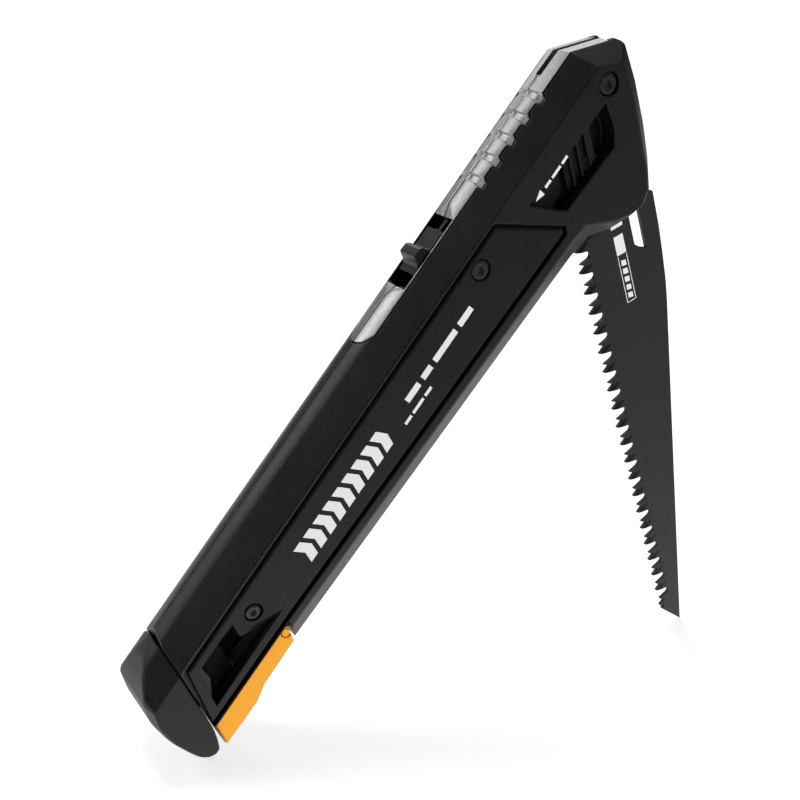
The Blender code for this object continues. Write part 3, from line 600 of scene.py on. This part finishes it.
def prism_mesh(work, outline, y_low, y_high, placement):
    """Add a closed prism of an (x, z) outline to a bmesh."""
    low = [work.verts.new(placement @ Vector((x, y_low, z))) for x, z in outline]
    high = [work.verts.new(placement @ Vector((x, y_high, z))) for x, z in outline]
    count = len(outline)
    for i in range(count):
        j = (i + 1) % count
        work.faces.new((low[i], low[j], high[j], high[i]))
    work.faces.new(low[::-1])
    work.faces.new(high)


def local_bounds(cad_node, placement):
    """Lowest and highest corner of a CAD node in the handle's or blade's frame, in millimetres."""
    back = placement.inverted()
    points = [back @ vertex.co for vertex in frame["nodes"][cad_node].data.vertices]
    low = Vector(min(point[i] for point in points) for i in range(3))
    high = Vector(max(point[i] for point in points) for i in range(3))
    return low, high


# ---------------------------------------------------------------- screws and springs

def join_rings(work, rows):
    """Faces between neighbouring rings of vertices, and across both ends."""
    count = len(rows[0])
    for low, high in zip(rows, rows[1:]):
        for i in range(count):
            j = (i + 1) % count
            work.faces.new((low[i], low[j], high[j], high[i]))
    work.faces.new(rows[0][::-1])
    work.faces.new(rows[-1])


def turned_rings(work, centre, profile, placement, sides=48):
    """Rings of vertices about Y from (radius, y) pairs, joined into a closed turned body."""
    rows = []
    for radius, y in profile:
        rows.append([work.verts.new(placement @ Vector((
            centre[0] + radius * math.cos(2.0 * math.pi * i / sides), y,
            centre[1] + radius * math.sin(2.0 * math.pi * i / sides)))) for i in range(sides)])
    join_rings(work, rows)


def star_outline(centre, radius, depth, points=6, steps=48):
    """A six-lobed drive socket as one smooth curve."""
    outline = []
    for i in range(steps):
        turn = 2.0 * math.pi * i / steps
        reach = radius * (1.0 - depth * (0.5 - 0.5 * math.cos(points * turn)))
        outline.append((centre[0] + reach * math.cos(turn), centre[1] + reach * math.sin(turn)))
    return outline


def mesh_from(work, name, smooth=True):
    bmesh.ops.recalc_face_normals(work, faces=work.faces)
    for face in work.faces:
        face.smooth = smooth
    mesh = bpy.data.meshes.new(name)
    work.to_mesh(mesh)
    work.free()
    return mesh


def subtract(mesh, cutter_mesh):
    """The mesh with the cutter's shape removed."""
    cutter = bpy.data.objects.new("cutter", cutter_mesh)
    bpy.context.scene.collection.objects.link(cutter)
    bpy.context.view_layer.update()
    result = baked(mesh, [("BOOLEAN", {"object": cutter, "operation": "DIFFERENCE", "solver": "EXACT",
                                       "material_mode": "TRANSFER"})])
    bpy.data.objects.remove(cutter)
    return result


def screw(cad_node):
    """A domed cap screw with a rolled rim, a six-lobed socket and a chamfered shank."""
    low, high = local_bounds(cad_node, HANDLE)
    centre = ((low.x + high.x) / 2.0, (low.z + high.z) / 2.0)
    head = (high.x - low.x) / 2.0
    side = 1.0 if high.y > 0.0 else -1.0
    tip, top = sorted((abs(low.y), abs(high.y)))
    under = top - HEAD_HEIGHT
    shank = head * SHANK_SHARE
    profile = [
        (shank * SHANK_TIP_SHARE, side * tip),
        (shank, side * (tip + SHANK_CHAMFER)),
        (shank, side * (under - 0.02)),
        (head - HEAD_CHAMFER, side * under),
        (head, side * (under + HEAD_CHAMFER)),
        (head, side * (under + RIM_START))]
    for step in range(1, RIM_STEPS + 1):
        turn = math.radians(RIM_STEP_ANGLE * step)
        profile.append((head - RIM_REACH + RIM_REACH * math.cos(turn),
                        side * (under + RIM_START + RIM_RISE * math.sin(turn))))
    profile += [
        (head * 0.72, side * (top - 0.04)),
        (head * 0.56, side * top),
        (head * 0.52, side * (top - 0.1))]
    body = bmesh.new()
    turned_rings(body, centre, profile, HANDLE)
    socket = bmesh.new()
    star = star_outline(centre, head * SOCKET_SHARE, SOCKET_LOBE_DEPTH)
    prism_mesh(socket, star, side * (under + SOCKET_FLOOR), side * (top + CUTTER_OVERRUN), HANDLE)
    mesh = subtract(mesh_from(body, "screw_body"), mesh_from(socket, "socket", False))
    mesh = baked(mesh, [("WEIGHTED_NORMAL", {"keep_sharp": False, "weight": 60})])
    mesh.materials.clear()
    return finish_piece(cad_node + "_skin", mesh, "handle", "black_screw", (cad_node,))


def spring(cad_node, turns, pressed_by=None):
    """A round wire compression spring along the handle, with its end coils closed up.

    When a pressing body is given, it rides on no body and stays where it is built. Otherwise it rides on the
    handle.
    """
    low, high = local_bounds(cad_node, HANDLE)
    radius = (high.z - low.z) / 2.0 - WIRE_RADIUS
    centre_y = (low.y + high.y) / 2.0
    centre_z = (low.z + high.z) / 2.0
    start = low.x + WIRE_RADIUS
    end = high.x - WIRE_RADIUS
    total = turns * COIL_STEPS
    work = bmesh.new()
    rows = []
    for i in range(total + 1):
        share = i / total
        along = start + (end - start) * (share - END_COIL_CLOSING * math.sin(2.0 * math.pi * share))
        angle = 2.0 * math.pi * turns * share
        outward = Vector((0.0, math.cos(angle), math.sin(angle)))
        centre = Vector((along, centre_y, centre_z)) + outward * radius
        rows.append([work.verts.new(HANDLE @ (
            centre + outward * (WIRE_RADIUS * math.cos(2.0 * math.pi * k / WIRE_SIDES))
            + Vector((WIRE_RADIUS * math.sin(2.0 * math.pi * k / WIRE_SIDES), 0.0, 0.0))))
            for k in range(WIRE_SIDES)])
    join_rings(work, rows)
    mesh = mesh_from(work, cad_node)
    body = None if pressed_by else "handle"
    piece = finish_piece(cad_node + "_skin", mesh, body, "plain_steel", (cad_node,))
    if pressed_by:
        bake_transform(piece)
    return piece


# ---------------------------------------------------------------- blade

def hollow(work, pair_x, offset, length, lean, half_width, side):
    """A cutter for one tooth's leaf-shaped hollow: a ring just off the blade's face, with two apexes.

    One apex lies inside the blade and the other well outside it.
    """
    tip_x = pair_x + offset
    face = side * (BLADE_FACE + 0.05)
    start = TOOTH_TIP_Z - HOLLOW_START
    right = []
    left = []
    for index in range(1, HOLLOW_STEPS):
        share = index / HOLLOW_STEPS
        reach = half_width * math.sin(math.pi * share) ** 0.8
        x = tip_x + lean * share
        z = start + length * share
        right.append((x + reach, face, z + HOLLOW_SKEW * reach))
        left.append((x - reach, face, z - HOLLOW_SKEW * reach))
    ring = [(tip_x, face, start)] + right + [(tip_x + lean, face, start + length)] + left[::-1]
    deepest = (tip_x + lean * 0.4, side * (BLADE_FACE - HOLLOW_DEPTH), start + length * 0.4)
    outside = (tip_x + lean * 0.5, side * 3.0, start + length * 0.5)
    verts = [work.verts.new(BLADE @ Vector(point)) for point in ring + [deepest, outside]]
    rim, low, high = verts[:-2], verts[-2], verts[-1]
    for first, second in zip(rim, rim[1:] + rim[:1]):
        work.faces.new((first, second, low))
        work.faces.new((second, first, high))


def blade():
    """The blade with a hollow ground into each tooth, on alternate faces."""
    cutters = bmesh.new()
    for index in range(TOOTH_PAIRS):
        pair_x = FIRST_TOOTH_X + TOOTH_PERIOD * index
        hollow(cutters, pair_x, *NEAR_HOLLOW)
        hollow(cutters, pair_x, *FAR_HOLLOW)
    ground = mesh_from(cutters, "tooth_hollows", False)
    source = cleaned(frame["nodes"]["blade"].data)
    source.materials.append(MATERIALS["coated_blade"])
    # The hollows take the darker black, as painted shade.
    ground.materials.append(MATERIALS["ground_hollow_shade"])
    mesh = subtract(source, ground)
    mesh = rounded_mesh(mesh, BLADE_EDGE_WIDTH, BLADE_EDGE_SEGMENTS, BLADE_SHARP_ANGLE)
    return finish_piece("blade_skin", mesh, "blade_unit", "coated_blade", ("blade",))


# ---------------------------------------------------------------- print

def bar(x_high, x_low, z_low, z_high, slant=0.0):
    """A printed bar, with its ends leaning by a slant."""
    return [(x_high, z_low), (x_low, z_low), (x_low + slant, z_high), (x_high + slant, z_high)]


def print_group(name, outlines, placement, face, body):
    """Thin raised print on a side face."""
    work = bmesh.new()
    for outline in outlines:
        prism_mesh(work, outline, face, face - PRINT_HEIGHT, placement)
    return finish_piece(name, mesh_from(work, name, False), body, "print_white")


def word_bars(start, end, z_low, z_high, lengths, gap):
    """A row of plain bars of varied length between two places, like a line of unreadable small print."""
    outlines = []
    place = start
    index = 0
    while place - lengths[index % len(lengths)] >= end:
        length = lengths[index % len(lengths)]
        outlines.append(bar(place, place - length, z_low, z_high))
        place -= length + gap
        index += 1
    return outlines


def panel_print():
    """A bold chevron band, one line of bars and a short fine line, in place of the maker's words."""
    outlines = []
    low, middle, high = CHEVRON_HEIGHTS
    for index in range(CHEVRONS):
        x = CHEVRON_START - CHEVRON_PITCH * index
        outlines.append([
            (x, low), (x - CHEVRON_WIDTH, low), (x - CHEVRON_NOTCH, middle), (x - CHEVRON_WIDTH, high),
            (x, high), (x + CHEVRON_REACH, middle)])
    for line in PANEL_LINES:
        outlines += word_bars(*line)
    print_group("panel_print", outlines, HANDLE, -HALF_WIDTH, "handle")


def window_print():
    """An arrow towards the butt and a short row of bars along the release window."""
    outlines = [WINDOW_ARROW] + word_bars(*WINDOW_LINE)
    print_group("release_print", outlines, HANDLE, -HALF_WIDTH, "handle")


def blade_print():
    """A framed label with a filled end, and a small mark near the holder."""
    left, right = LABEL_X
    low, high = LABEL_Z
    end_line_low = low + LABEL_LINE + LABEL_LINE_PLAY
    end_line_high = high - LABEL_LINE - LABEL_LINE_PLAY
    outlines = [
        bar(LABEL_FILL_END, left, low, high),
        bar(*HOLDER_MARK),
        bar(right, LABEL_FRAME_START, high - LABEL_LINE, high),
        bar(right, LABEL_FRAME_START, low, low + LABEL_LINE),
        bar(right, right - LABEL_LINE, end_line_low, end_line_high)]
    for index in range(LABEL_MARKS):
        x = LABEL_MARK_START + LABEL_MARK_PITCH * index
        outlines.append(bar(x + LABEL_MARK_WIDTH, x, *LABEL_MARK_Z, LABEL_MARK_SLANT))
    print_group("blade_print", outlines, BLADE, -BLADE_FACE, "blade_unit")


# ---------------------------------------------------------------- seam, recess and pocket

def close_seam(piece, stretch):
    """Draw the two halves together along the spine, so that no light comes through between them."""
    back = HANDLE.inverted()
    for vertex in piece.data.vertices:
        place = back @ vertex.co
        if stretch[0] < place.x < stretch[1] and abs(place.y) < SEAM_REACH and place.z > SEAM_FLOOR:
            vertex.co = HANDLE @ Vector((place.x, place.y * SEAM_KEPT, place.z))


def paint_recess_shade(piece):
    """Paint the recess walls and its far rim a deeper black, as painted shade."""
    mesh = piece.data
    mesh.materials.append(MATERIALS["painted_shade_black"])
    back = HANDLE.inverted()
    places = [back @ vertex.co for vertex in mesh.vertices]
    for polygon in mesh.polygons:
        corners = [places[index] for index in polygon.vertices]
        in_recess = all(RECESS[0] < point.x < RECESS[1] for point in corners)
        wall = all(abs(point.y) < RECESS_WALL for point in corners)
        far_rim = all(point.y > RECESS_FAR_RIM for point in corners)
        polygon.material_index = 1 if in_recess and (wall or far_rim) else 0


def paint_shade(piece, hidden):
    """Painted shade: give every face a deeper black whose corners all pass a test in handle coordinates."""
    mesh = piece.data
    mesh.materials.append(MATERIALS["painted_shade_black"])
    back = HANDLE.inverted()
    for polygon in mesh.polygons:
        if all(hidden(back @ mesh.vertices[index].co) for index in polygon.vertices):
            polygon.material_index = 1


def in_pocket(point):
    """The rear pocket's floor and walls, under the panel's face."""
    return point.x < POCKET_NOSE_END and point.z < POCKET_TOP and POCKET_INNER < abs(point.y) < POCKET_OUTER


def in_slot(point):
    """The walls of the blade slot beside the pocket."""
    return point.x < POCKET_NOSE_END and point.z < SLOT_TOP and abs(point.y) < SLOT_HALF_WIDTH


def on_latch_top(point):
    """The lever's upper faces, inside the shell."""
    return point.z > LATCH_TOP and abs(point.y) < PIN_INNER


def paint_inside_shade(skins):
    """Painted shade, a deeper black, for what is seen only through the rear pocket."""
    paint_shade(skins["side_panel_right"], lambda point: in_pocket(point) and abs(point.y) < PANEL_INNER)
    paint_shade(skins["side_panel_left"], lambda point: in_pocket(point) and abs(point.y) < PANEL_INNER)
    for name in ("shell_right", "shell_left"):
        paint_shade(skins[name], lambda point: in_pocket(point) or in_slot(point))
    paint_shade(skins["storage_latch"], on_latch_top)
    for name in ("latch_pin_right", "latch_pin_left"):
        paint_shade(skins[name], lambda point: abs(point.y) < PIN_INNER)


# ---------------------------------------------------------------- stage

def glow_lobe(tree, direction, aim, half_angle, soft, strength):
    """Brightness seen towards one soft panel of the studio."""
    alike = node(tree, "VectorMath", {0: direction, 1: Vector(aim).normalized()}, operation="DOT_PRODUCT")
    low = math.cos(math.radians(half_angle + soft))
    high = math.cos(math.radians(half_angle))
    return remap(tree, alike.outputs["Value"], low, high, 0.0, strength, "SMOOTHSTEP")


def world():
    """White to the camera. To everything else, a dim room with soft panels."""
    made = bpy.data.worlds.new("studio")
    bpy.context.scene.world = made
    made.use_nodes = True
    tree = made.node_tree
    tree.nodes.clear()
    direction = node(tree, "TexCoord").outputs["Generated"]
    brightness = glow_lobe(tree, direction, *PANELS[0])
    for panel in PANELS[1:]:
        brightness = math_node(tree, "ADD", brightness, glow_lobe(tree, direction, *panel))
    brightness = math_node(tree, "ADD", brightness, ROOM_LIGHT)
    seen = node(tree, "LightPath").outputs["Is Camera Ray"]
    fill = node(tree, "Background", {"Color": WHITE, "Strength": brightness})
    white = node(tree, "Background", {"Color": WHITE, "Strength": BACKDROP_LIGHT})
    mixed = node(tree, "MixShader", {0: seen, 1: fill.outputs[0], 2: white.outputs[0]})
    node(tree, "OutputWorld", {"Surface": mixed.outputs[0]})


def floor():
    """Lit white paper to the camera. To everything else, paper that is brighter behind the saw."""
    material, tree = new_tree("floor_paper")
    where = node(tree, "TexCoord").outputs["Object"]
    fibre = noise(tree, where, 900.0, 3.0)
    colour = mix_colour(tree, fibre, PAPER_DARK, PAPER_LIGHT)
    paper = node(tree, "BsdfDiffuse", {"Color": colour})
    away = node(tree, "VectorMath", {0: where}, operation="LENGTH").outputs["Value"]
    own_light = remap(tree, away, *FLOOR_GLOW_STRETCH, FLOOR_GLOW, FLOOR_FAR_GLOW, "SMOOTHSTEP")
    glow = node(tree, "Emission", {"Color": WHITE, "Strength": own_light})
    both = node(tree, "AddShader", {0: paper.outputs[0], 1: glow.outputs[0]})
    depth = node(tree, "SeparateXYZ", {0: where}).outputs["Y"]
    spill = remap(tree, depth, *FLOOR_STRETCH, FLOOR_FRONT, FLOOR_BACK, "SMOOTHSTEP")
    bounce = node(tree, "Emission", {"Color": WHITE, "Strength": spill})
    seen = node(tree, "LightPath").outputs["Is Camera Ray"]
    mixed = node(tree, "MixShader", {0: seen, 1: bounce.outputs[0], 2: both.outputs[0]})
    node(tree, "OutputMaterial", {"Surface": mixed.outputs[0]})
    work = bmesh.new()
    bmesh.ops.create_grid(work, x_segments=2, y_segments=2, size=FLOOR_HALF_SIZE)
    mesh = bpy.data.meshes.new("floor")
    work.to_mesh(mesh)
    work.free()
    mesh.materials.append(material)
    ground = bpy.data.objects.new("floor", mesh)
    ground.location.z = CAD_BOX[0][2] - FLOOR_DROP * MM
    bpy.context.scene.collection.objects.link(ground)
    return ground


def area_light(name, place, target, size, power):
    data = bpy.data.lights.new(name, "AREA")
    data.shape = "RECTANGLE"
    data.size, data.size_y = size
    data.energy = power
    light = bpy.data.objects.new(name, data)
    light.visible_glossy = False
    light.location = place
    light.rotation_euler = (Vector(target) - Vector(place)).to_track_quat("-Z", "Y").to_euler()
    bpy.context.scene.collection.objects.link(light)
    return light


def front_light(ground):
    """A soft light on the print and the lever that leaves the floor alone."""
    light = area_light("front", *FRONT_LIGHT)
    receivers = bpy.data.collections.new("lit_from_the_front")
    receivers.objects.link(ground)
    receivers.collection_objects[0].light_linking.link_state = "EXCLUDE"
    light.light_linking.receiver_collection = receivers


def camera():
    data = bpy.data.cameras.new("camera")
    data.lens = CAMERA_LENS
    data.clip_start = CAMERA_NEAR
    made = bpy.data.objects.new("camera", data)
    made.location = CAMERA_PLACE
    made.rotation_euler = [math.radians(angle) for angle in CAMERA_TURN]
    bpy.context.scene.collection.objects.link(made)
    bpy.context.scene.camera = made


# ---------------------------------------------------------------- build

def build():
    skins = {name: skin(name, width) for name, width in EDGE_WIDTH.items()}
    for side in ("right", "left"):
        paint_recess_shade(skins["liner_" + side])
        close_seam(skins["liner_" + side], LINER_SEAM)
        close_seam(skins["shell_" + side], SHELL_SEAM)
    paint_inside_shade(skins)
    skins["storage_latch"].visible_diffuse = False
    for name in SLOTS:
        if "screw" in name:
            screw(name)
    spring("lock_spring", LOCK_SPRING_TURNS)
    spring("release_spring", RELEASE_SPRING_TURNS, pressed_by="release")
    blade()
    panel_print()
    window_print()
    blade_print()
    front_light(floor())
    area_light("key", *KEY_LIGHT)
    world()
    camera()
    bpy.context.scene.view_settings.view_transform = "Standard"


build()
bpy.context.view_layer.update()
